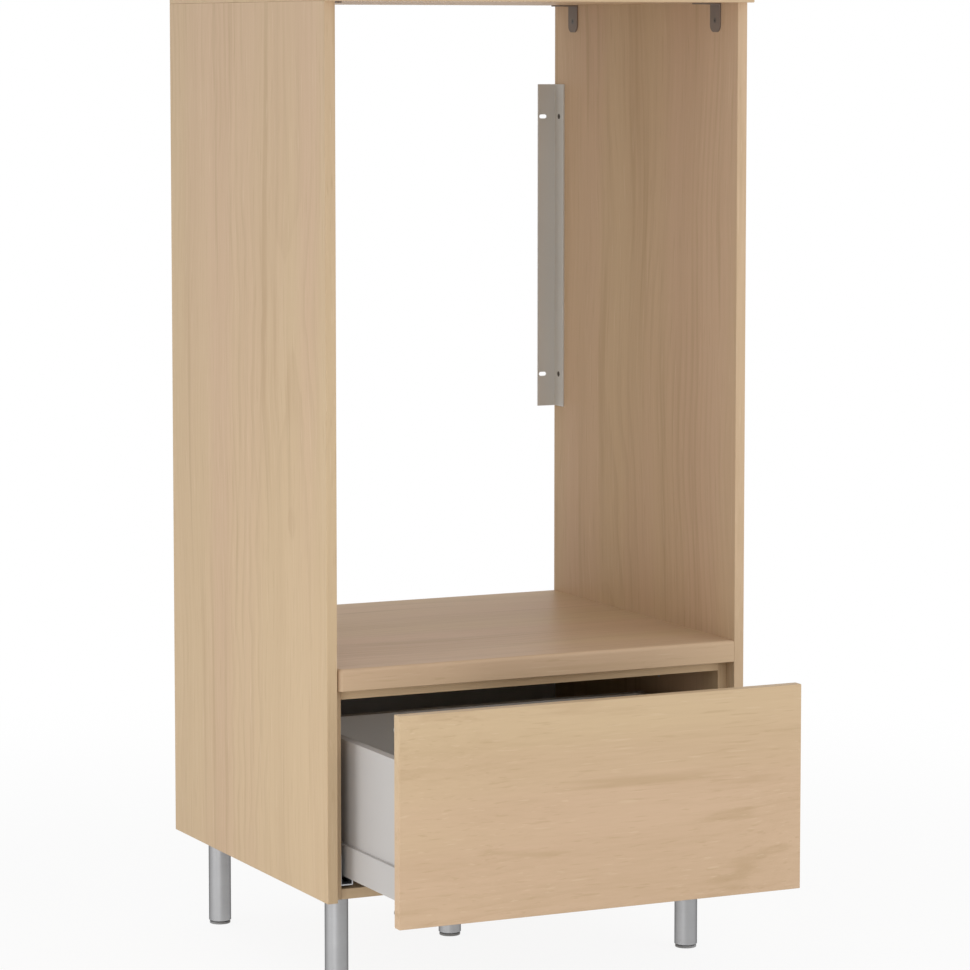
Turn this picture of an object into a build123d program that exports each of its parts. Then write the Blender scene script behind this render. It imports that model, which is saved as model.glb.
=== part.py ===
from build123d import *
import os

# Tall cabinet for a washing machine, with one deep drawer under the machine's shelf.
# Sizes are millimetres. X runs to the right, Y to the back and Z up.
# The origin lies on the floor under the centre leg, midway between the side panels.

# Outer boards
cabinet_width = 630.0
cabinet_depth = 560.0
side_panel_height = 1195.0
side_panel_thickness = 15.0
top_board_thickness = 30.0
top_board_overhang = 20.0
board_edge_radius = 1.0
carcass_edge_radius = 0.6

# Shelf that carries the machine
shelf_thickness = 30.0
shelf_left_gap = 2.5
shelf_right_gap = 0.0
shelf_edge_radius = 5.0
shelf_corner_radius = 6.0

# Carcass around the drawer
carcass_height = 284.0
carcass_board = 14.0
carcass_setback = 21.0
back_board = 8.0
back_board_inset = 25.0
back_groove_depth = 7.0
groove_clearance = 0.2

# Drawer front and box
drawer_open = 194.5
drawer_front_thickness = 16.0
front_side_gap = 3.0
front_top_gap = 2.5
front_bottom_gap = 2.5
front_back_gap = 2.0
drawer_length = 400.0
drawer_board = 16.0
drawer_headroom = 58.0

# Drawer side profile, a folded sheet seen from its end
side_sheet = 1.0
wall_gap = 13.5
wall_width = 12.8
profile_gap = 8.0
profile_floor_gap = 15.0
profile_height = 43.0
bottom_flange_rise = 15.0
bottom_flange_width = 16.0
fold_radius = 0.8
flange_screw_end_distance = 40.0

# Runner rails and their rollers
rail_sheet = 1.5
rail_length = 400.0
rail_front_setback = 3.0
rail_floor_gap = 4.0
rail_flange_height = 42.0
rail_head_rise = 16.0
middle_head_rise = 10.5
head_width = 8.5
head_side_clearance = 1.0
lip_clearance = 0.5
lip_reach = 3.0
middle_rail_shorter = 10.0
middle_rail_lag = 2.0
drawer_rail_end_gap = 2.0
roller_space = 4.0
roller_clearance = 0.1
roller_length = 6.0
roller_count = 6
cage_length = 150.0
cage_thickness = 1.2
cage_window_clearance = 0.3

# Brackets inside and behind the drawer sides
bracket_rise = 34.0
bracket_below_rim = 27.0
front_bracket_thickness = 2.5
back_bracket_thickness = 2.0
back_bracket_reach = 25.0
bracket_screw_end_distance = 15.0
tongue_height = 30.0
tongue_length = 40.0
tongue_thickness = 2.0
bracket_fit = 0.3

# Bumpers behind the drawer front
bumper_radius = 4.0
bumper_free_gap = 0.2
bumper_end_distance = 20.0

# Legs and levelling feet
leg_height = 131.0
leg_radius = 16.0
leg_wall = 1.5
leg_cap = 4.0
leg_rim_radius = 0.4
leg_front_inset = 79.0
leg_back_inset = 56.0
leg_side_clearance = 1.5
foot_pad_step = 1.0
foot_pad_height = 3.2
foot_neck_step = 4.0
foot_neck_height = 1.7
foot_rim_radius = 1.0
foot_seat_gap = 0.1
foot_stem_radius = 4.0
foot_stem_length = 30.0
thread_clearance = 0.05
plug_length = 12.0
plug_clearance = 0.1
leg_bolt_radius = 4.0
leg_bolt_head_radius = 7.5
leg_bolt_head_height = 5.3
insert_nut_radius = 6.0
insert_nut_cover = 3.0

# Steel angle at the back of each side panel
wall_angle_length = 482.0
wall_angle_leg = 30.0
wall_angle_sheet = 2.0
wall_angle_recess = 3.0
angle_bend_radius = 1.0
wall_angle_above_shelf = 282.0
slot_length = 12.5
slot_height = 6.0
slot_end_distance = 48.0
slot_from_panel = 22.0

# Small angles that hold the top board
top_angle_width = 28.0
top_angle_drop = 40.0
top_angle_reach = 30.0
top_angle_sheet = 2.0
top_angle_end_radius = 10.0
top_angle_front_inset = 61.5
top_angle_back_inset = 62.5
top_angle_screw_drop = 24.0
top_angle_screw_reach = 18.0

# Fasteners
hole_clearance = 0.05
small_screw_radius = 2.0
small_screw_length = 13.0
joining_screw_length = 25.0
screw_head_radius = 4.0
screw_head_height = 2.2
recess_width = 0.9
recess_length = 4.4
recess_depth = 1.3
raised_head_rounding = 0.6
runner_screw_radius = 3.0
runner_screw_length = 11.5
runner_screw_head_radius = 5.0
runner_screw_head_height = 1.5
runner_screw_end_distance = 32.0
runner_screw_below_top = 17.0
carcass_screw_radius = 3.5
carcass_screw_length = 50.0
carcass_screw_head_radius = 5.0
carcass_screw_head_height = 3.0
carcass_screw_end_distance = 95.0
dowel_radius = 4.0
dowel_length = 30.0
dowel_depth_in_side = 11.0
dowel_end_distance = 135.0
joining_screw_end_distance = 175.0
joining_screw_low = 100.0
joining_screw_high = 45.0
shelf_screw_inset = 100.0
top_dowel_depth_in_board = 15.0
top_dowel_end_distance = 120.0

# Places that follow from the sizes
half_width = cabinet_width / 2
niche_half = half_width - side_panel_thickness
carcass_half = niche_half - carcass_board
leg_y = (cabinet_depth - leg_front_inset - leg_back_inset) / 2
leg_x = carcass_half - leg_side_clearance - leg_radius
front_y = -leg_y - leg_front_inset
back_y = leg_y + leg_back_inset
carcass_front = front_y + carcass_setback
base_z = leg_height
tube_bottom = foot_pad_height + foot_neck_height + foot_seat_gap
carcass_floor = base_z + carcass_board
carcass_top_z = base_z + carcass_height
carcass_ceiling = carcass_top_z - carcass_board
shelf_top_z = carcass_top_z + shelf_thickness
panel_top_z = base_z + side_panel_height
cabinet_top_z = panel_top_z + top_board_thickness
back_board_y = (back_y - back_board_inset - back_board, back_y - back_board_inset)

# Drawer places, at the distance that it stands open
drawer_y = carcass_front - front_back_gap - drawer_open
drawer_end_y = drawer_y + drawer_length
profile_bottom = carcass_floor + profile_floor_gap
profile_top = profile_bottom + profile_height
flange_top = profile_bottom + bottom_flange_rise + side_sheet
wall_top = carcass_ceiling - drawer_headroom
inner_skin = wall_gap + wall_width
drawer_inner_half = carcass_half - inner_skin
drawer_floor = flange_top + drawer_board

# Runner places. Across the cabinet they are distances inwards from the carcass side.
cavity_low = profile_gap + side_sheet
cavity_high = inner_skin - side_sheet
rail_centre = (cavity_low + cavity_high) / 2
rail_bottom = carcass_floor + rail_floor_gap
lower_head_top = rail_bottom + rail_head_rise
middle_web = lower_head_top + roller_space
upper_head_top = middle_web + rail_sheet + middle_head_rise
drawer_web = upper_head_top + roller_space
cabinet_rail_y = carcass_front + rail_front_setback
middle_rail_y = cabinet_rail_y + middle_rail_lag - drawer_open / 2
middle_rail_length = rail_length - middle_rail_shorter
drawer_rail_y = drawer_y + drawer_rail_end_gap
drawer_rail_length = drawer_length - 2 * drawer_rail_end_gap

sides = {"left": -1, "right": 1}
nodes = {}


def block(x, y, z):
    """A box between two values on each axis."""
    spans = [sorted(pair) for pair in (x, y, z)]
    centre = [(low + high) / 2 for low, high in spans]
    size = [high - low for low, high in spans]
    return Pos(*centre) * Box(*size)


def rod(start, direction, length, radius):
    """A round rod from a point along a direction."""
    place = Plane(origin=start, z_dir=direction).location
    return place * Cylinder(radius, length, align=(Align.CENTER, Align.CENTER, Align.MIN))


def runner_block(side, inwards, y, z):
    """A box whose place across the cabinet is measured inwards from a carcass side."""
    x = [side * (carcass_half - distance) for distance in inwards]
    return block(x, y, z)


def fuse(pieces):
    """One solid from pieces that touch or overlap."""
    whole = pieces[0]
    for piece in pieces[1:]:
        whole = whole + piece
    return whole


def cut(piece, cutters):
    """A piece with each cutter taken away."""
    for cutter in cutters:
        piece = piece - cutter
    return piece


def edges_along(piece, axis, condition):
    """The straight edges along an axis whose middle meets a condition."""
    return [edge for edge in piece.edges().filter_by(axis) if condition(edge.center())]


def near(value, target):
    """Whether two lengths are the same."""
    return abs(value - target) < 0.01


def spread(span, end_distance):
    """Three places along a span: near its start, in the middle and near its end."""
    return (span[0] + end_distance, (span[0] + span[1]) / 2, span[1] - end_distance)


def cross_recess(height):
    """The cross for the driver, sunk from a height along the screw."""
    bars = []
    for length_x, length_y in ((recess_length, recess_width), (recess_width, recess_length)):
        bar = Box(length_x, length_y, recess_depth, align=(Align.CENTER, Align.CENTER, Align.MIN))
        bars.append(Pos(0, 0, height) * bar)
    return bars[0] + bars[1]


def raised_screw(start, direction, length, radius, head_radius, head_height):
    """A screw with a rounded head that stands proud. Start is under the head."""
    shank = Cylinder(radius, length, align=(Align.CENTER, Align.CENTER, Align.MIN))
    head = Cylinder(head_radius, head_height, align=(Align.CENTER, Align.CENTER, Align.MAX))
    head = fillet(head.edges().sort_by(Axis.Z)[0], head_height * raised_head_rounding)
    return Plane(origin=start, z_dir=direction).location * (shank + head - cross_recess(-head_height))


def countersunk(start, direction, length, spare):
    """A straight shank that widens to a countersunk head, with spare room all round."""
    to_top = (Align.CENTER, Align.CENTER, Align.MIN)
    shank = Cylinder(small_screw_radius + spare, length + spare, align=to_top)
    head = Cone(screw_head_radius + spare, small_screw_radius + spare, screw_head_height, align=to_top)
    return Plane(origin=start, z_dir=direction).location * (shank + head)


def small_screw(start, direction, length=small_screw_length):
    """The common wood screw of the cabinet, flush with the surface at its start."""
    recess = Plane(origin=start, z_dir=direction).location * cross_recess(0)
    return countersunk(start, direction, length, 0) - recess


def small_hole(start, direction, length=small_screw_length):
    """The hole that the common wood screw fills."""
    return countersunk(start, direction, length, hole_clearance)


# Small angles under the top board, with their screws
bracket_screws = []
side_panel_cuts = {"left": [], "right": []}
top_board_cuts = []
top_angle_places = {
    "front": front_y + top_angle_front_inset,
    "back": back_y - top_angle_back_inset,
}
for row, angle_y in top_angle_places.items():
    for name, side in sides.items():
        width_y = (angle_y - top_angle_width / 2, angle_y + top_angle_width / 2)
        inner_x = side * (niche_half - top_angle_sheet)
        drop_z = (panel_top_z - top_angle_drop, panel_top_z)
        hanging_leaf = block((side * niche_half, inner_x), width_y, drop_z)
        lower_corners = edges_along(hanging_leaf, Axis.X, lambda c: near(c.Z, panel_top_z - top_angle_drop))
        hanging_leaf = fillet(lower_corners, top_angle_end_radius)
        level_x = (side * niche_half, side * (niche_half - top_angle_reach))
        level_leaf = block(level_x, width_y, (panel_top_z - top_angle_sheet, panel_top_z))
        panel_screw_start = (inner_x, angle_y, panel_top_z - top_angle_screw_drop)
        board_screw_x = side * (niche_half - top_angle_screw_reach)
        board_screw_start = (board_screw_x, angle_y, panel_top_z - top_angle_sheet)
        panel_hole = small_hole(panel_screw_start, (side, 0, 0))
        board_hole = small_hole(board_screw_start, (0, 0, 1))
        angle = hanging_leaf + level_leaf
        bend = edges_along(angle, Axis.Y, lambda c: near(c.Z, panel_top_z - top_angle_sheet))
        angle = fillet([edge for edge in bend if near(edge.center().X, inner_x)], angle_bend_radius)
        nodes[f"top_angle_{row}_{name}"] = cut(angle, [panel_hole, board_hole])
        bracket_screws.append(small_screw(panel_screw_start, (side, 0, 0)))
        bracket_screws.append(small_screw(board_screw_start, (0, 0, 1)))
        side_panel_cuts[name].append(panel_hole)
        top_board_cuts.append(board_hole)

# Slotted steel angles at the back, with their screws
wall_angle_y = back_y - wall_angle_recess
wall_angle_z = shelf_top_z + wall_angle_above_shelf
slot_heights = (wall_angle_z + slot_end_distance, wall_angle_z + wall_angle_length - slot_end_distance)
for name, side in sides.items():
    long_z = (wall_angle_z, wall_angle_z + wall_angle_length)
    panel_leg_x = (side * niche_half, side * (niche_half - wall_angle_sheet))
    panel_leg = block(panel_leg_x, (wall_angle_y - wall_angle_leg, wall_angle_y), long_z)
    wall_leg_x = (side * niche_half, side * (niche_half - wall_angle_leg))
    wall_leg = block(wall_leg_x, (wall_angle_y - wall_angle_sheet, wall_angle_y), long_z)
    angle = panel_leg + wall_leg
    bend_y = wall_angle_y - wall_angle_sheet
    bend = edges_along(angle, Axis.Z, lambda c: near(c.Y, bend_y) and near(c.X, panel_leg_x[1]))
    angle = fillet(bend, angle_bend_radius)
    for height in slot_heights:
        slot = extrude(SlotOverall(slot_length, slot_height), wall_angle_sheet, both=True)
        slot_x = side * (niche_half - slot_from_panel)
        slot_plane = Plane(origin=(slot_x, wall_angle_y, height), x_dir=(1, 0, 0), z_dir=(0, -1, 0))
        angle = angle - slot_plane.location * slot
        screw_y = wall_angle_y - wall_angle_leg / 2
        screw_start = (side * (niche_half - wall_angle_sheet), screw_y, height)
        hole = small_hole(screw_start, (side, 0, 0))
        angle = angle - hole
        bracket_screws.append(small_screw(screw_start, (side, 0, 0)))
        side_panel_cuts[name].append(hole)
    nodes[f"wall_angle_{name}"] = angle
nodes["bracket_screws"] = Compound(bracket_screws)

# Dowels between the side panels and the top board
top_dowels = []
for name, side in sides.items():
    for dowel_y in spread((front_y, back_y), top_dowel_end_distance):
        dowel_x = side * (half_width - side_panel_thickness / 2)
        dowel_z = panel_top_z + top_dowel_depth_in_board - dowel_length
        top_dowels.append(rod((dowel_x, dowel_y, dowel_z), (0, 0, 1), dowel_length, dowel_radius))
        hole_start = (dowel_x, dowel_y, dowel_z - hole_clearance)
        hole_length = dowel_length + 2 * hole_clearance
        dowel_hole = rod(hole_start, (0, 0, 1), hole_length, dowel_radius + hole_clearance)
        side_panel_cuts[name].append(dowel_hole)
        top_board_cuts.append(dowel_hole)
nodes["top_board_dowels"] = Compound(top_dowels)

# Fasteners of the carcass, and the holes that they fill
carcass_screws = []
carcass_dowels = []
joining_screws = []
carcass_side_cuts = {"left": [], "right": []}
level_board_cuts = []
shelf_cuts = []
screw_rows = (carcass_front + carcass_screw_end_distance, back_y - carcass_screw_end_distance)
dowel_rows = (carcass_front + dowel_end_distance, back_y - dowel_end_distance)
board_middles = (base_z + carcass_board / 2, carcass_top_z - carcass_board / 2)
for name, side in sides.items():
    inwards = (-side, 0, 0)
    for middle_z in board_middles:
        for screw_y in screw_rows:
            head_x = side * (niche_half - carcass_screw_head_height)
            under_head = (head_x, screw_y, middle_z)
            carcass_screws.append(
                raised_screw(under_head, inwards, carcass_screw_length, carcass_screw_radius,
                             carcass_screw_head_radius, carcass_screw_head_height)
            )
            outer = (side * niche_half, screw_y, middle_z)
            shank_reach = carcass_screw_head_height + carcass_screw_length + hole_clearance
            shank_hole = rod(outer, inwards, shank_reach, carcass_screw_radius + hole_clearance)
            head_reach = carcass_screw_head_height + hole_clearance
            head_hole = rod(outer, inwards, head_reach, carcass_screw_head_radius + hole_clearance)
            carcass_side_cuts[name] += [shank_hole, head_hole]
            level_board_cuts.append(shank_hole)
        for dowel_y in dowel_rows:
            start = (side * (carcass_half + dowel_depth_in_side), dowel_y, middle_z)
            carcass_dowels.append(rod(start, inwards, dowel_length, dowel_radius))
            hole_start = (side * (carcass_half + dowel_depth_in_side + hole_clearance), dowel_y, middle_z)
            hole_length = dowel_length + 2 * hole_clearance
            dowel_hole = rod(hole_start, inwards, hole_length, dowel_radius + hole_clearance)
            carcass_side_cuts[name].append(dowel_hole)
            level_board_cuts.append(dowel_hole)
    joining_heights = (base_z + joining_screw_low, carcass_top_z - joining_screw_high)
    joining_rows = (carcass_front + joining_screw_end_distance, back_y - joining_screw_end_distance)
    for screw_z in joining_heights:
        for screw_y in joining_rows:
            start = (side * carcass_half, screw_y, screw_z)
            joining_screws.append(small_screw(start, (side, 0, 0), joining_screw_length))
            hole = small_hole(start, (side, 0, 0), joining_screw_length)
            carcass_side_cuts[name].append(hole)
            side_panel_cuts[name].append(hole)
    for screw_y in (carcass_front + shelf_screw_inset, back_y - shelf_screw_inset):
        start = (side * (carcass_half - shelf_screw_inset), screw_y, carcass_ceiling)
        joining_screws.append(small_screw(start, (0, 0, 1), joining_screw_length))
        hole = small_hole(start, (0, 0, 1), joining_screw_length)
        level_board_cuts.append(hole)
        shelf_cuts.append(hole)
nodes["carcass_screws"] = Compound(carcass_screws)
nodes["carcass_dowels"] = Compound(carcass_dowels)
nodes["joining_screws"] = Compound(joining_screws)

# Legs, each a capped tube with a bolt, an insert nut, a threaded plug and a levelling foot
leg_places = {
    "front_left": (-leg_x, -leg_y),
    "front_right": (leg_x, -leg_y),
    "back_left": (-leg_x, leg_y),
    "back_right": (leg_x, leg_y),
    "centre": (0.0, 0.0),
}
leg_bolts = []
insert_nuts = []
leg_plugs = []
insert_nut_length = carcass_board - insert_nut_cover
for place, (x, y) in leg_places.items():
    up = (0, 0, 1)
    tube = rod((x, y, tube_bottom), up, base_z - tube_bottom, leg_radius)
    tube = fillet(tube.edges().sort_by(Axis.Z)[0], leg_rim_radius)
    bore_length = base_z - leg_cap - tube_bottom
    tube = tube - rod((x, y, tube_bottom), up, bore_length, leg_radius - leg_wall)
    bolt_hole = rod((x, y, base_z - leg_cap), up, leg_cap, leg_bolt_radius + hole_clearance)
    nodes[f"leg_{place}"] = tube - bolt_hole
    bolt_top = base_z + insert_nut_length
    bolt = rod((x, y, base_z - leg_cap), up, bolt_top - base_z + leg_cap, leg_bolt_radius)
    head_profile = RegularPolygon(leg_bolt_head_radius, 6)
    head_z = base_z - leg_cap - leg_bolt_head_height
    leg_bolts.append(bolt + Pos(x, y, head_z) * extrude(head_profile, leg_bolt_head_height))
    nut = rod((x, y, base_z), up, insert_nut_length, insert_nut_radius)
    insert_nuts.append(nut - rod((x, y, base_z), up, insert_nut_length, leg_bolt_radius + thread_clearance))
    nut_hole_length = insert_nut_length + hole_clearance
    level_board_cuts.append(rod((x, y, base_z), up, nut_hole_length, insert_nut_radius + hole_clearance))
    plug = rod((x, y, tube_bottom), up, plug_length, leg_radius - leg_wall - plug_clearance)
    stem_hole = rod((x, y, tube_bottom), up, plug_length, foot_stem_radius + thread_clearance)
    leg_plugs.append(plug - stem_hole)
    pad = rod((x, y, 0), up, foot_pad_height, leg_radius - foot_pad_step)
    pad = fillet(pad.edges().filter_by(GeomType.CIRCLE), foot_rim_radius)
    neck = rod((x, y, foot_pad_height), up, foot_neck_height, leg_radius - foot_neck_step)
    stem = rod((x, y, foot_pad_height), up, foot_stem_length, foot_stem_radius)
    nodes[f"foot_{place}"] = fuse([pad, neck, stem])
nodes["leg_bolts"] = Compound(leg_bolts)
nodes["insert_nuts"] = Compound(insert_nuts)
nodes["leg_plugs"] = Compound(leg_plugs)

# Runners: a cabinet rail, a middle rail and a drawer rail on each side, on roller cages
lower_cage_y = cabinet_rail_y + middle_rail_lag + middle_rail_length / 2 - drawer_open / 4
upper_cage_y = lower_cage_y - drawer_open / 2
wrap_half = head_width / 2 + head_side_clearance
runner_screws = []


def head_and_web(side, y, web_bottom, head_top):
    """The T shape that a rail above rolls on."""
    web_half = rail_sheet / 2
    web = (rail_centre - web_half, rail_centre + web_half)
    head = (rail_centre - head_width / 2, rail_centre + head_width / 2)
    return [
        runner_block(side, web, y, (web_bottom, head_top)),
        runner_block(side, head, y, (head_top - rail_sheet, head_top)),
    ]


def wrapped_rail(side, y, web, lower_head):
    """The legs and lips of a rail that wraps the head under it."""
    lip_top = lower_head - rail_sheet - lip_clearance
    lip_bottom = lip_top - rail_sheet
    pieces = []
    for direction in (-1, 1):
        inner = rail_centre + direction * wrap_half
        outer = inner + direction * rail_sheet
        lip_end = outer - direction * (rail_sheet + lip_reach)
        pieces.append(runner_block(side, (inner, outer), y, (lip_bottom, web)))
        pieces.append(runner_block(side, (lip_end, outer), y, (lip_bottom, lip_top)))
    return pieces


def roller_cage(side, centre_y, head_top):
    """A cage strip with windows, and the rollers that lie in them."""
    middle_z = head_top + roller_space / 2
    strip_y = (centre_y - cage_length / 2, centre_y + cage_length / 2)
    strip_z = (middle_z - cage_thickness / 2, middle_z + cage_thickness / 2)
    across = (rail_centre - head_width / 2, rail_centre + head_width / 2)
    strip = runner_block(side, across, strip_y, strip_z)
    roller_radius = roller_space / 2 - roller_clearance
    window_half = roller_radius + cage_window_clearance
    window_across = roller_length / 2 + cage_window_clearance
    window = (rail_centre - window_across, rail_centre + window_across)
    rollers = []
    pitch = cage_length / roller_count
    for index in range(roller_count):
        roller_y = strip_y[0] + (index + 0.5) * pitch
        window_y = (roller_y - window_half, roller_y + window_half)
        strip = strip - runner_block(side, window, window_y, strip_z)
        start_x = side * (carcass_half - rail_centre) - roller_length / 2
        rollers.append(rod((start_x, roller_y, middle_z), (1, 0, 0), roller_length, roller_radius))
    return strip, Compound(rollers)


for name, side in sides.items():
    cabinet_y = (cabinet_rail_y, cabinet_rail_y + rail_length)
    rail_web = (rail_bottom, rail_bottom + rail_sheet)
    cabinet_rail = fuse(
        [
            runner_block(side, (0, rail_sheet), cabinet_y, (rail_bottom, rail_bottom + rail_flange_height)),
            runner_block(side, (0, rail_centre + rail_sheet / 2), cabinet_y, rail_web),
            *head_and_web(side, cabinet_y, rail_bottom, lower_head_top),
        ]
    )
    screw_z = rail_bottom + rail_flange_height - runner_screw_below_top
    outwards = (side, 0, 0)
    for screw_y in spread(cabinet_y, runner_screw_end_distance):
        start = (side * (carcass_half - rail_sheet), screw_y, screw_z)
        runner_screws.append(
            raised_screw(start, outwards, runner_screw_length, runner_screw_radius,
                         runner_screw_head_radius, runner_screw_head_height)
        )
        hole_length = runner_screw_length + hole_clearance
        hole = rod(start, outwards, hole_length, runner_screw_radius + hole_clearance)
        cabinet_rail = cabinet_rail - hole
        carcass_side_cuts[name].append(hole)
    nodes[f"cabinet_rail_{name}"] = cabinet_rail

    middle_y = (middle_rail_y, middle_rail_y + middle_rail_length)
    middle_across = (rail_centre - wrap_half - rail_sheet, rail_centre + wrap_half + rail_sheet)
    nodes[f"middle_rail_{name}"] = fuse(
        [
            runner_block(side, middle_across, middle_y, (middle_web, middle_web + rail_sheet)),
            *wrapped_rail(side, middle_y, middle_web, lower_head_top),
            *head_and_web(side, middle_y, middle_web, upper_head_top),
        ]
    )

    drawer_rail_span = (drawer_rail_y, drawer_rail_y + drawer_rail_length)
    drawer_web_z = (drawer_web, drawer_web + rail_sheet)
    nodes[f"drawer_rail_{name}"] = fuse(
        [
            runner_block(side, (cavity_low, cavity_high), drawer_rail_span, drawer_web_z),
            *wrapped_rail(side, drawer_rail_span, drawer_web, upper_head_top),
        ]
    )

    cages = {"lower": (lower_cage_y, lower_head_top), "upper": (upper_cage_y, upper_head_top)}
    for level, (cage_y, head_top) in cages.items():
        strip, rollers = roller_cage(side, cage_y, head_top)
        nodes[f"{level}_cage_{name}"] = strip
        nodes[f"{level}_rollers_{name}"] = rollers
nodes["runner_screws"] = Compound(runner_screws)

# Drawer sides, folded from one sheet, with the brackets that hold the front and the back
drawer_screws = []
drawer_front_cuts = []
drawer_back_cuts = []
drawer_bottom_cuts = []
drawer_span = (drawer_y, drawer_end_y)
bracket_z = (drawer_floor + bracket_rise, wall_top - bracket_below_rim)
tongue_middle = sum(bracket_z) / 2
tongue_z = (tongue_middle - tongue_height / 2, tongue_middle + tongue_height / 2)
for name, side in sides.items():
    flange_bottom = flange_top - side_sheet
    folded = fuse(
        [
            runner_block(side, (profile_gap, cavity_low), drawer_span, (profile_bottom, profile_top)),
            runner_block(side, (profile_gap, wall_gap + side_sheet), drawer_span,
                         (profile_top - side_sheet, profile_top)),
            runner_block(side, (wall_gap, wall_gap + side_sheet), drawer_span,
                         (profile_top - side_sheet, wall_top)),
            runner_block(side, (wall_gap, inner_skin), drawer_span, (wall_top - side_sheet, wall_top)),
            runner_block(side, (cavity_high, inner_skin), drawer_span, (flange_bottom, wall_top)),
            runner_block(side, (cavity_high, inner_skin + bottom_flange_width), drawer_span,
                         (flange_bottom, flange_top)),
        ]
    )
    outer_folds = edges_along(folded, Axis.Y, lambda c: near(c.Z, wall_top))
    step_x = side * (carcass_half - profile_gap)
    outer_folds += edges_along(folded, Axis.Y, lambda c: near(c.Z, profile_top) and near(c.X, step_x))
    folded = fillet(outer_folds, fold_radius)

    hollow = (wall_gap + side_sheet + bracket_fit, cavity_high)
    plate_y = (drawer_y, drawer_y + front_bracket_thickness)
    tongue = (cavity_high - tongue_thickness, cavity_high)
    front_bracket = fuse(
        [
            runner_block(side, hollow, plate_y, bracket_z),
            runner_block(side, tongue, (drawer_y, drawer_y + tongue_length), tongue_z),
        ]
    )
    back_plate_y = (drawer_end_y, drawer_end_y + back_bracket_thickness)
    back_across = (wall_gap + side_sheet, inner_skin + back_bracket_reach)
    back_tongue_y = (drawer_end_y - tongue_length, drawer_end_y + back_bracket_thickness)
    back_bracket = fuse(
        [
            runner_block(side, back_across, back_plate_y, bracket_z),
            runner_block(side, tongue, back_tongue_y, tongue_z),
        ]
    )
    plate_x = side * (carcass_half - sum(hollow) / 2)
    back_screw_x = side * (carcass_half - inner_skin - back_bracket_reach / 2)
    for screw_z in (bracket_z[0] + bracket_screw_end_distance, bracket_z[1] - bracket_screw_end_distance):
        front_start = (plate_x, drawer_y + front_bracket_thickness, screw_z)
        back_start = (back_screw_x, drawer_end_y + back_bracket_thickness, screw_z)
        drawer_screws.append(small_screw(front_start, (0, -1, 0)))
        drawer_screws.append(small_screw(back_start, (0, -1, 0)))
        front_hole = small_hole(front_start, (0, -1, 0))
        back_hole = small_hole(back_start, (0, -1, 0))
        front_bracket = front_bracket - front_hole
        back_bracket = back_bracket - back_hole
        drawer_front_cuts.append(front_hole)
        drawer_back_cuts.append(back_hole)
    flange_x = side * (carcass_half - inner_skin - bottom_flange_width / 2)
    for screw_y in spread(drawer_span, flange_screw_end_distance):
        start = (flange_x, screw_y, flange_bottom)
        drawer_screws.append(small_screw(start, (0, 0, 1)))
        hole = small_hole(start, (0, 0, 1))
        folded = folded - hole
        drawer_bottom_cuts.append(hole)
    nodes[f"drawer_side_{name}"] = folded
    nodes[f"drawer_front_bracket_{name}"] = front_bracket
    nodes[f"drawer_back_bracket_{name}"] = back_bracket
nodes["drawer_screws"] = Compound(drawer_screws)

# Boards of the drawer
inner_x = (-drawer_inner_half, drawer_inner_half)
bottom = block(inner_x, drawer_span, (flange_top, drawer_floor))
nodes["drawer_bottom"] = cut(bottom, drawer_bottom_cuts)
back = block(inner_x, (drawer_end_y - drawer_board, drawer_end_y), (drawer_floor, wall_top))
back = fillet(edges_along(back, Axis.X, lambda c: near(c.Z, wall_top)), carcass_edge_radius)
nodes["drawer_back"] = cut(back, drawer_back_cuts)
front_half = niche_half - front_side_gap
front_z = (base_z + front_bottom_gap, carcass_top_z - front_top_gap)
front = block((-front_half, front_half), (drawer_y - drawer_front_thickness, drawer_y), front_z)
front = fillet(front.edges(), board_edge_radius)
nodes["drawer_front"] = cut(front, drawer_front_cuts)

# Bumpers behind the drawer front, in line with the edges of the carcass sides
bumpers = []
for side in sides.values():
    for bumper_z in (front_z[0] + bumper_end_distance, front_z[1] - bumper_end_distance):
        bumper_x = side * (carcass_half + carcass_board / 2)
        bumper_height = front_back_gap - bumper_free_gap
        bumpers.append(rod((bumper_x, drawer_y, bumper_z), (0, 1, 0), bumper_height, bumper_radius))
nodes["drawer_bumpers"] = Compound(bumpers)


def at_carcass_front(point):
    """Whether a point lies on the front plane of the carcass."""
    return near(point.Y, carcass_front)


# Boards of the carcass, with the groove that holds its back
groove_y = (back_board_y[0] - groove_clearance, back_board_y[1] + groove_clearance)
groove_x = (-carcass_half - back_groove_depth, carcass_half + back_groove_depth)
groove_z = (carcass_floor - back_groove_depth, carcass_ceiling + back_groove_depth)
groove = block(groove_x, groove_y, groove_z)
carcass_y = (carcass_front, back_y)
for name, side in sides.items():
    board = block((side * carcass_half, side * niche_half), carcass_y, (base_z, carcass_top_z))
    board = fillet(edges_along(board, Axis.Z, at_carcass_front), carcass_edge_radius)
    nodes[f"carcass_side_{name}"] = cut(board, [groove, *carcass_side_cuts[name]])
for level, level_z in {"bottom": (base_z, carcass_floor), "top": (carcass_ceiling, carcass_top_z)}.items():
    board = block((-carcass_half, carcass_half), carcass_y, level_z)
    board = fillet(edges_along(board, Axis.X, at_carcass_front), carcass_edge_radius)
    nodes[f"carcass_{level}"] = cut(board, [groove, *level_board_cuts])
back_x = (groove_x[0] + groove_clearance, groove_x[1] - groove_clearance)
back_z = (groove_z[0], groove_z[1] - groove_clearance)
nodes["carcass_back"] = block(back_x, back_board_y, back_z)

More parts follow.
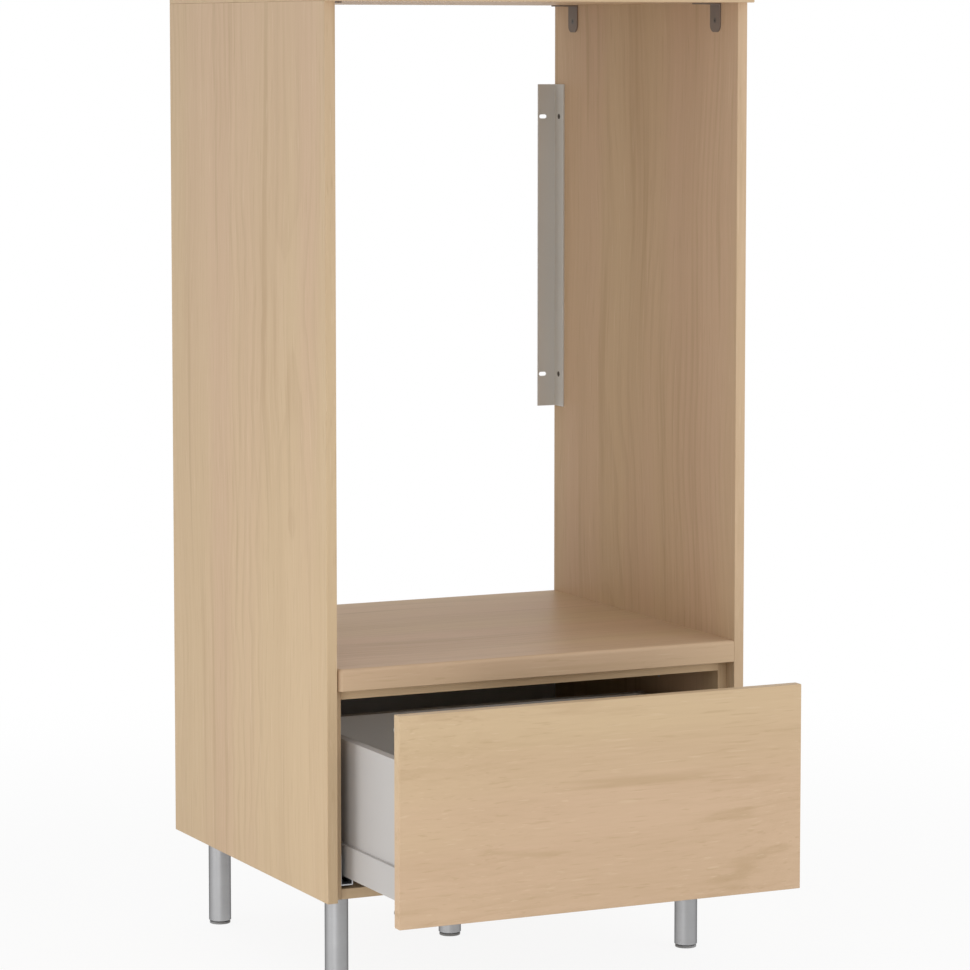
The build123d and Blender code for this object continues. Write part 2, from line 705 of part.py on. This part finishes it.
# Shelf with rounded front edges. Its right end lies against the side panel.
shelf_x = (-niche_half + shelf_left_gap, niche_half - shelf_right_gap)
shelf = block(shelf_x, (front_y, back_y), (carcass_top_z, shelf_top_z))
free_corner = edges_along(shelf, Axis.Z, lambda c: near(c.Y, front_y) and near(c.X, shelf_x[0]))
shelf = fillet(free_corner, shelf_corner_radius)
top_front = edges_along(shelf, Axis.X, lambda c: near(c.Y, front_y) and near(c.Z, shelf_top_z))
shelf = fillet(top_front, shelf_edge_radius)
low_front = edges_along(shelf, Axis.X, lambda c: near(c.Y, front_y) and near(c.Z, carcass_top_z))
shelf = fillet(low_front, board_edge_radius)
nodes["appliance_shelf"] = cut(shelf, shelf_cuts)

# Side panels and top board
for name, side in sides.items():
    panel = block((side * niche_half, side * half_width), (front_y, back_y), (base_z, panel_top_z))
    free_edges = [edge for edge in panel.edges() if not near(edge.center().Z, panel_top_z)]
    panel = fillet(free_edges, board_edge_radius)
    nodes[f"side_panel_{name}"] = cut(panel, side_panel_cuts[name])
top_y = (front_y - top_board_overhang, back_y)
top_board = block((-half_width, half_width), top_y, (panel_top_z, cabinet_top_z))
top_board = fillet(top_board.edges(), board_edge_radius)
nodes["top_board"] = cut(top_board, top_board_cuts)

os.makedirs("parts", exist_ok=True)
for name, shape in nodes.items():
    export_step(shape, f"parts/{name}.step")
print(len(nodes), "nodes written")
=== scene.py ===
import math
import bpy
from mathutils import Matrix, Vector


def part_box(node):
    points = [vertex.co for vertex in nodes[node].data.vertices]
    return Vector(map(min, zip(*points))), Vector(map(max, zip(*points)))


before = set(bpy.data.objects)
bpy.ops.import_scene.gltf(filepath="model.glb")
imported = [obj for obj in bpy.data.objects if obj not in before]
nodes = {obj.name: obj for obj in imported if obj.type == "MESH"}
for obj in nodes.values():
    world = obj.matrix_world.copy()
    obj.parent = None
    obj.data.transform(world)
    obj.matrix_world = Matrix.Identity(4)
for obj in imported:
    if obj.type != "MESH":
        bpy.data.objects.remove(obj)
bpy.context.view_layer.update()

# Tall light oak cabinet for a washing machine, with one deep drawer under the machine's shelf.
# Lengths are metres in the cabinet's own frame: X to the right, Y to the back, Z up from the floor.
sides = {"left": -1, "right": 1}


# Side panels. Each is chipboard faced with a light oak print whose grain runs upright, edged with
# the same print, and it is screwed to the carcass and dowelled to the top board.
class Flow:
    """One socket of a finish. Sums, differences and products of flows add Math nodes."""

    def __init__(self, tree, socket=None):
        self.tree = tree
        self.socket = socket

    def node(self, kind, settings=None, inputs=None, result=0):
        """Add a node: its settings first, then the values or links of its sockets."""
        made = self.tree.nodes.new("ShaderNode" + kind)
        for name, value in (settings or {}).items():
            setattr(made, name, value)
        for name, value in (inputs or {}).items():
            socket = pick(made.inputs, name)
            if isinstance(value, Flow):
                self.tree.links.new(value.socket, socket)
            else:
                socket.default_value = value
        return Flow(self.tree, pick(made.outputs, result) if made.outputs else None)

    def math(self, operation, first, second=0.0):
        """A Math node on two values."""
        return self.node("Math", {"operation": operation}, {0: first, 1: second})

    def __add__(self, other):
        return self.math("ADD", self, other)

    def __sub__(self, other):
        return self.math("SUBTRACT", self, other)

    def __rsub__(self, other):
        return self.math("SUBTRACT", other, self)

    def __mul__(self, other):
        return self.math("MULTIPLY", self, other)

    __radd__ = __add__
    __rmul__ = __mul__

    def shifted(self, by):
        """The place, moved by this much."""
        return self.node("VectorMath", {"operation": "ADD"}, {0: self, 1: by})

    def noise(self, blotches, detail=2.0, roughness=0.5):
        """Soft noise from 0 to 1 at a place, with this many blotches to the metre, on all axes
        alike or on each."""
        each = blotches if isinstance(blotches, tuple) else (blotches, blotches, blotches)
        place = self.node("VectorMath", {"operation": "MULTIPLY"}, {0: self, 1: each})
        pattern = {"Vector": place, "Scale": 1.0, "Detail": detail, "Roughness": roughness}
        return self.node("TexNoise", {}, pattern)

    def ramp(self, low, high):
        """Runs smoothly from 0 at low to 1 at high."""
        ends = {"Value": self, "From Min": low, "From Max": high}
        return self.node("MapRange", {"interpolation_type": "SMOOTHSTEP"}, ends)

    def mix(self, low, high):
        """A colour between two, by this factor."""
        ends = {"Factor_Float": self, "A_Color": low, "B_Color": high}
        return self.node("Mix", {"data_type": "RGBA", "blend_type": "MIX"}, ends, "Result_Color")


def pick(sockets, name):
    """A socket by its number, identifier or name."""
    if isinstance(name, int):
        return sockets[name]
    for socket in sockets:
        if socket.identifier == name:
            return socket
    return sockets[name]


def new_finish(name):
    """An empty finish, and the flow that its nodes start from."""
    material = bpy.data.materials.new(name)
    material.use_nodes = True
    material.node_tree.nodes.clear()
    return material, Flow(material.node_tree)


def close_finish(at, **inputs):
    """End a finish with its shader, given the sockets by name with underscores for spaces."""
    named = {name.replace("_", " "): value for name, value in inputs.items()}
    shader = at.node("BsdfPrincipled", {}, named)
    at.node("OutputMaterial", {}, {"Surface": shader})


def relief(at, height, depth):
    """A bump of this depth in metres."""
    return at.node("Bump", {}, {"Height": height, "Distance": depth, "Strength": 1.0})


oak_yellow = (0.622, 0.468, 0.296, 1.0)
oak_pink = (0.628, 0.452, 0.306, 1.0)
oak_streak = (0.500, 0.352, 0.214, 1.0)
oak_fleck = (0.700, 0.545, 0.375, 1.0)
oak_roughness = 0.36
oak_shine = 0.07
pore_depth = 0.00004
rings_to_metre = 70.0
upright = (0.0, math.radians(90), 0.0)
level = (0.0, 0.0, 0.0)


def oak_print(name, middle, turn, heart, figure, slope=0.0):
    """Light oak print. turn lays the grain along X, heart is where the tree's middle lay from the
    board's middle, across and through it, figure moves the small pattern from board to board and
    slope is how much the grain climbs across the board for each metre along it."""
    material, at = new_finish(name)
    place = at.node("TexCoord", {}, {}, "Object")
    centred = at.node("VectorMath", {"operation": "SUBTRACT"}, {0: place, 1: middle})
    board = at.node("Mapping", {}, {"Vector": centred, "Rotation": turn})
    moved = board.shifted(figure)
    along, across, through = (at.node("SeparateXYZ", {}, {"Vector": board}, axis) for axis in "XYZ")

    # The grain sways widely and wanders a little, in metres across the board.
    sway = moved.noise((1.6, 2.4, 2.4), 1.0) - 0.5
    wander = moved.noise((7.0, 12.0, 12.0), 2.0) - 0.5
    bend = at.node("CombineXYZ", {}, {"Y": sway * 0.10 + wander * 0.010 - along * slope})
    grain = moved.shifted(bend)

    # Year rings round the tree's middle. Each darkens slowly and ends sharply, and they show only
    # here and there.
    away = across - heart[0] + sway * 0.07 + wander * 0.012
    inward = through - heart[1] + sway * 0.11
    radius = at.math("SQRT", away * away + inward * inward)
    rings = at.math("FRACT", radius * rings_to_metre + wander * 1.5)
    late_wood = rings.ramp(0.35, 0.9) * (1.0 - rings.ramp(0.9, 1.0))
    shown = moved.noise((1.5, 6.0, 6.0), 1.0).ramp(0.45, 0.66)

    # The print's patterns, from the widest drift of colour to the finest pores.
    drift = moved.noise((0.7, 7.0, 7.0), 1.0).ramp(0.36, 0.64)
    bands = grain.noise((0.7, 20.0, 20.0))
    streaks = grain.noise((1.5, 46.0, 46.0)).ramp(0.56, 0.74)
    threads = grain.noise((5.0, 230.0, 230.0))
    fibres = grain.noise((12.0, 760.0, 760.0))
    dashes = grain.noise((15.0, 300.0, 300.0), 1.0).ramp(0.62, 0.76)
    flecks = grain.shifted((0.0, 0.0, 3.7)).noise((13.0, 330.0, 330.0), 1.0).ramp(0.63, 0.78)
    pores = grain.noise((40.0, 850.0, 850.0), 1.0).ramp(0.64, 0.76)

    # Each pattern has its share in how dark the wood is. Dashes and pores come over that, and the
    # light flecks last.
    even = bands * 0.62 + threads * 0.42 + fibres * 0.20
    tone = even + streaks * 0.40 + late_wood * shown * 0.24 - 0.38
    wood = (tone.ramp(-0.05, 0.95) * 0.86).mix(drift.mix(oak_yellow, oak_pink), oak_streak)
    dark = dashes * 0.44 + pores * (late_wood * shown * 0.22 + 0.08)
    close_finish(
        at,
        Base_Color=(flecks * 0.36).mix(dark.mix(wood, oak_streak), oak_fleck),
        Roughness=threads * 0.12 + oak_roughness,
        Specular_IOR_Level=oak_shine,
        Normal=relief(at, fibres * 0.3 - pores, pore_depth),
    )
    return material


def cover(node, material):
    """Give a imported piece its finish."""
    for slot in nodes[node].material_slots:
        slot.material = material


def cover_in_oak(node, name, turn, heart, figure, slope=0.0):
    """Give a packed board an oak print of its own, laid from the board's middle."""
    low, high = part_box(node)
    middle = tuple((low + high) / 2)
    cover(node, oak_print(name, middle, turn, heart, figure, slope))


for name, side in sides.items():
    panel_heart = (side * 0.16, 0.21)
    cover_in_oak(f"side_panel_{name}", f"oak_panel_{name}", upright, panel_heart, (side * 1.7, 0.4, side))


# Carcass around the drawer: boards with the same oak print, screwed and dowelled at the corners,
# the level ones with their grain across the cabinet. A thin back board faced in light grey slides
# into a groove round them.
for number, name in enumerate(sides):
    node = f"carcass_side_{name}"
    cover_in_oak(node, f"oak_{node}", upright, (0.1, 0.15), (number + 3.0, 0.7, 0.2))
for number, node in enumerate(("carcass_top", "carcass_bottom")):
    cover_in_oak(node, f"oak_{node}", level, (0.1, 0.12), (number + 5.5, 0.3, 0.6))

grey_light = (0.68, 0.67, 0.65, 1.0)
grey_dark = (0.62, 0.61, 0.59, 1.0)


def grey_print():
    """Light grey faced board with a fine even speckle."""
    material, at = new_finish("grey_faced_board")
    place = at.node("TexCoord", {}, {}, "Object")
    speckle = place.noise(900.0)
    clouds = place.noise(6.0)
    close_finish(
        at,
        Base_Color=(speckle * 0.6 + clouds * 0.4).mix(grey_light, grey_dark),
        Roughness=speckle * 0.1 + 0.45,
        Normal=relief(at, speckle, 0.00003),
    )
    return material


grey_board = grey_print()
for node in ("carcass_back", "drawer_bottom", "drawer_back"):
    cover(node, grey_board)


# Shelf that carries the machine: a thick board whose oak print is wrapped round its front edge,
# with the grain across the cabinet. It lies on the carcass and is screwed to it from below.
cover_in_oak("appliance_shelf", "oak_shelf", level, (-0.3, 0.13), (2.3, 0.1, 0.0))


# Top board: as thick as the shelf, in the same oak print, standing out past the panels at the
# front. It sits on dowels in the side panels and is held by small steel angles.
cover_in_oak("top_board", "oak_top", level, (0.25, 0.1), (7.3, 0.8, 0.5))


# Steel angles, folded from sheet and powder coated: two pale slotted ones at the back, screwed to
# the side panels, that fix the cabinet to the wall, and four small ones that hold the top board.
# The small ones are coloured dark warm brown as painted shade, the shade under the top board.
def coated_steel(name, light, dark, roughness, shine):
    """Powder coat on steel: even colour with a fine orange peel."""
    material, at = new_finish(name)
    place = at.node("TexCoord", {}, {}, "Object")
    peel = place.noise(1400.0)
    clouds = place.noise((14.0, 14.0, 9.0), 3.0)
    close_finish(
        at,
        Base_Color=(clouds * 0.7 + peel * 0.3).mix(light, dark),
        Roughness=peel * 0.1 + roughness,
        Specular_IOR_Level=shine,
        Normal=relief(at, peel, 0.00002),
    )
    return material


pale_light = (0.67, 0.675, 0.655, 1.0)
pale_dark = (0.61, 0.615, 0.595, 1.0)
# Painted shade: the small angles' dark warm brown stands in for the shade under the top board.
top_angle_shade_light = (0.24, 0.195, 0.165, 1.0)
top_angle_shade_dark = (0.21, 0.17, 0.145, 1.0)
wall_coat = coated_steel("wall_angle_coat", pale_light, pale_dark, roughness=0.34, shine=0.6)
top_angle_shaded_coat = coated_steel("top_angle_painted_shade", top_angle_shade_light, top_angle_shade_dark, roughness=0.42, shine=0.1)
for name in sides:
    cover(f"wall_angle_{name}", wall_coat)
    for row in ("front", "back"):
        cover(f"top_angle_{row}_{name}", top_angle_shaded_coat)


# Zinc plated steel: the runners' rails, rolled from strip, their cages, the brackets, the bolts and
# most screws. The screws that hold the coated angles are coloured dark brown as painted shade,
# so that they sink into the shade like the small angles.
def bare_metal(name, colour, worn, roughness, lines, rim):
    """Bare metal with soft blotches and fine lines, so many to the metre. rim is how bright it
    stays where it turns away from the eye; set low, it paints shade on the edges."""
    material, at = new_finish(name)
    place = at.node("TexCoord", {}, {}, "Object")
    scratches = place.noise(lines, 3.0, 0.6)
    blotches = place.noise(40.0, 3.0)
    close_finish(
        at,
        Base_Color=(blotches * 0.6 + scratches * 0.4).mix(colour, worn),
        Metallic=1.0,
        Specular_Tint=(rim, rim, rim, 1.0),
        Roughness=scratches * 0.16 + blotches * 0.06 + roughness,
        Normal=relief(at, scratches, 0.00001),
    )
    return material


zinc_light = (0.60, 0.61, 0.62, 1.0)
zinc_dark = (0.50, 0.51, 0.53, 1.0)
# Painted shade: the screws on the coated angles are dark so that they sink into the shade around them.
screw_shade_light = (0.21, 0.19, 0.17, 1.0)
screw_shade_dark = (0.17, 0.155, 0.14, 1.0)
zinc = bare_metal("zinc_plate", zinc_light, zinc_dark, roughness=0.28, lines=60.0, rim=0.9)
shaded_screw_metal = bare_metal("screw_painted_shade", screw_shade_light, screw_shade_dark, roughness=0.40, lines=60.0, rim=0.5)
cover("bracket_screws", shaded_screw_metal)
zinc_nodes = ["carcass_screws", "joining_screws", "runner_screws", "drawer_screws"]
zinc_nodes += ["leg_bolts", "insert_nuts"]
for name in sides:
    zinc_nodes += [f"{rail}_rail_{name}" for rail in ("cabinet", "middle", "drawer")]
    zinc_nodes += [f"lower_cage_{name}", f"upper_cage_{name}"]
    zinc_nodes += [f"drawer_front_bracket_{name}", f"drawer_back_bracket_{name}"]
for node in zinc_nodes:
    cover(node, zinc)


# Rollers of the runners: short cylinders turned from white plastic, which lie in the windows of
# their cages between the rails.
def moulded(name, light, dark, roughness):
    """Moulded plastic with a faint grain."""
    material, at = new_finish(name)
    place = at.node("TexCoord", {}, {}, "Object")
    grain = place.noise(1100.0)
    clouds = place.noise(90.0)
    close_finish(
        at,
        Base_Color=(clouds * 0.8 + grain * 0.2).mix(light, dark),
        Roughness=grain * 0.12 + roughness,
        Normal=relief(at, grain, 0.00002),
    )
    return material


roller_light = (0.80, 0.80, 0.77, 1.0)
roller_dark = (0.72, 0.72, 0.69, 1.0)
roller_plastic = moulded("roller_plastic", roller_light, roller_dark, roughness=0.32)
for name in sides:
    cover(f"lower_rollers_{name}", roller_plastic)
    cover(f"upper_rollers_{name}", roller_plastic)


# Drawer: an oak print front with its grain across, on a box whose sides are folded from sheet
# steel and coated light grey. Soft clear bumpers stick to the back of the front.
cover_in_oak("drawer_front", "oak_drawer_front", level, (0.03, 0.05), (4.4, 0.5, 0.3), slope=0.10)
drawer_light = (0.535, 0.517, 0.503, 1.0)
drawer_dark = (0.495, 0.477, 0.463, 1.0)
bumper_light = (0.42, 0.42, 0.41, 1.0)
bumper_dark = (0.36, 0.36, 0.35, 1.0)
drawer_coat = coated_steel("drawer_coat", drawer_light, drawer_dark, roughness=0.40, shine=0.35)
for name in sides:
    cover(f"drawer_side_{name}", drawer_coat)
cover("drawer_bumpers", moulded("bumper_rubber", bumper_light, bumper_dark, roughness=0.5))


# Dowels turned from beech, glued into the ends of the carcass boards and between the side panels
# and the top board.
beech_light = (0.56, 0.38, 0.23, 1.0)
beech_dark = (0.47, 0.30, 0.17, 1.0)
beech_fleck = (0.30, 0.17, 0.09, 1.0)


def beech():
    """Plain beech with short dark flecks."""
    material, at = new_finish("beech")
    place = at.node("TexCoord", {}, {}, "Object")
    flecks = place.noise(700.0).ramp(0.6, 0.7)
    grain = place.noise((60.0, 300.0, 300.0))
    wood = grain.mix(beech_light, beech_dark)
    close_finish(at, Base_Color=(flecks * 0.5).mix(wood, beech_fleck), Roughness=grain * 0.1 + 0.5)
    return material


beech_wood = beech()
for node in ("top_board_dowels", "carcass_dowels"):
    cover(node, beech_wood)


# Legs: drawn steel tube with a satin finish, bolted up into the bottom boards. Each has a moulded
# plug in its end and a levelling foot screwed into that.
steel_light = (0.41, 0.41, 0.415, 1.0)
steel_dark = (0.36, 0.36, 0.365, 1.0)
foot_light = (0.30, 0.30, 0.30, 1.0)
foot_dark = (0.25, 0.25, 0.25, 1.0)
rings_round = (25.0, 25.0, 1900.0)
# rim=0.0 paints shade on the legs' edges, where they turn away from the eye.
leg_metal = bare_metal("satin_steel", steel_light, steel_dark, roughness=0.36, lines=rings_round, rim=0.0)
foot_plastic = moulded("foot_plastic", foot_light, foot_dark, roughness=0.42)
for place in ("front_left", "front_right", "back_left", "back_right", "centre"):
    cover(f"leg_{place}", leg_metal)
    cover(f"foot_{place}", foot_plastic)
cover("leg_plugs", foot_plastic)


# Floor: a pale matt sheet just under the feet that fades into the white behind it. Near the cabinet
# it keeps a share of its own shade, which is enough to hold the cabinet's shadow.
floor_radius = 5.0
floor_place = (0, 0, -0.0003)
floor_pale = (0.86, 0.86, 0.86, 1.0)
white = (1.0, 1.0, 1.0, 1.0)
shadow_share = 0.10
fade_start = 0.7
fade_end = 2.2


def looked_at(at):
    """1 where a ray comes from the eye, straight or by a mirror or glass, and 0 for light."""
    rays = [at.node("LightPath", {}, {}, f"Is {kind} Ray") for kind in ("Camera", "Glossy", "Transmission")]
    return at.math("MAXIMUM", at.math("MAXIMUM", rays[0], rays[1]), rays[2])


bpy.ops.object.select_all(action="DESELECT")
bpy.ops.mesh.primitive_circle_add(vertices=128, radius=floor_radius, fill_type="NGON", location=floor_place)
floor = bpy.context.object
floor.name = "floor"
floor_finish, at = new_finish("floor_white")
place = at.node("TexCoord", {}, {}, "Object")
reach = at.node("VectorMath", {"operation": "LENGTH"}, {0: place}, "Value")
fade = reach.ramp(fade_start, fade_end) * shadow_share + (1.0 - shadow_share)
matt = at.node("BsdfDiffuse", {}, {"Color": floor_pale})
glow = at.node("Emission", {}, {"Color": white, "Strength": 1.0})
surface = at.node("MixShader", {}, {0: looked_at(at) * fade, 1: matt, 2: glow})
at.node("OutputMaterial", {}, {"Surface": surface})
floor.data.materials.append(floor_finish)


# Studio light: an even pale sky all round, and soft square lamps at the left, low down and near at
# the front left, where the legs catch it, and at the right.
sky_strength = 0.73
world = bpy.data.worlds.new("studio")
bpy.context.scene.world = world
world.use_nodes = True
world.node_tree.nodes.clear()
at = Flow(world.node_tree)
strength = looked_at(at) * (1.0 - sky_strength) + sky_strength
sky = at.node("Background", {}, {"Color": white, "Strength": strength})
at.node("OutputWorld", {}, {"Surface": sky})


def soft_lamp(name, turn, distance, height, size, power, mirrored=True):
    """A square lamp that faces the cabinet at its own height, at a turn to the left of the front in
    degrees. One that isn't mirrored leaves no gleam on metal."""
    turn = math.radians(turn)
    place = Vector((-math.sin(turn) * distance, -math.cos(turn) * distance, height))
    bpy.ops.object.light_add(type="AREA", location=place)
    lamp = bpy.context.object
    lamp.name = name
    lamp.data.shape = "SQUARE"
    lamp.data.size = size
    lamp.data.energy = power
    lamp.visible_glossy = mirrored
    lamp.rotation_euler = (Vector((0.0, 0.0, height)) - place).to_track_quat("-Z", "Y").to_euler()


soft_lamp("left_lamp", turn=84, distance=1.9, height=0.20, size=1.0, power=7.6)
soft_lamp("front_left_lamp", turn=43, distance=1.9, height=0.17, size=0.3, power=4.0)
soft_lamp("right_lamp", turn=-40, distance=3.2, height=0.80, size=1.8, power=26.4, mirrored=False)


# Camera: where the photograph was taken from, a little lower than the top board, turned to the
# right and tilted down. Angles are degrees, the lens and the sensor millimetres.
camera_place = (-2.3630, -5.0586, 1.2778)
tilt_down = 5.324
turn_right = 25.556
camera_data = bpy.data.cameras.new("camera")
camera = bpy.data.objects.new("camera", camera_data)
bpy.context.scene.collection.objects.link(camera)
camera.location = camera_place
camera.rotation_euler = (math.radians(90 - tilt_down), 0.0, math.radians(-turn_right))
camera_data.lens = 147.14
camera_data.sensor_width = 36.0
camera_data.shift_y = -0.08
bpy.context.scene.camera = camera
bpy.context.scene.view_settings.view_transform = "Standard"
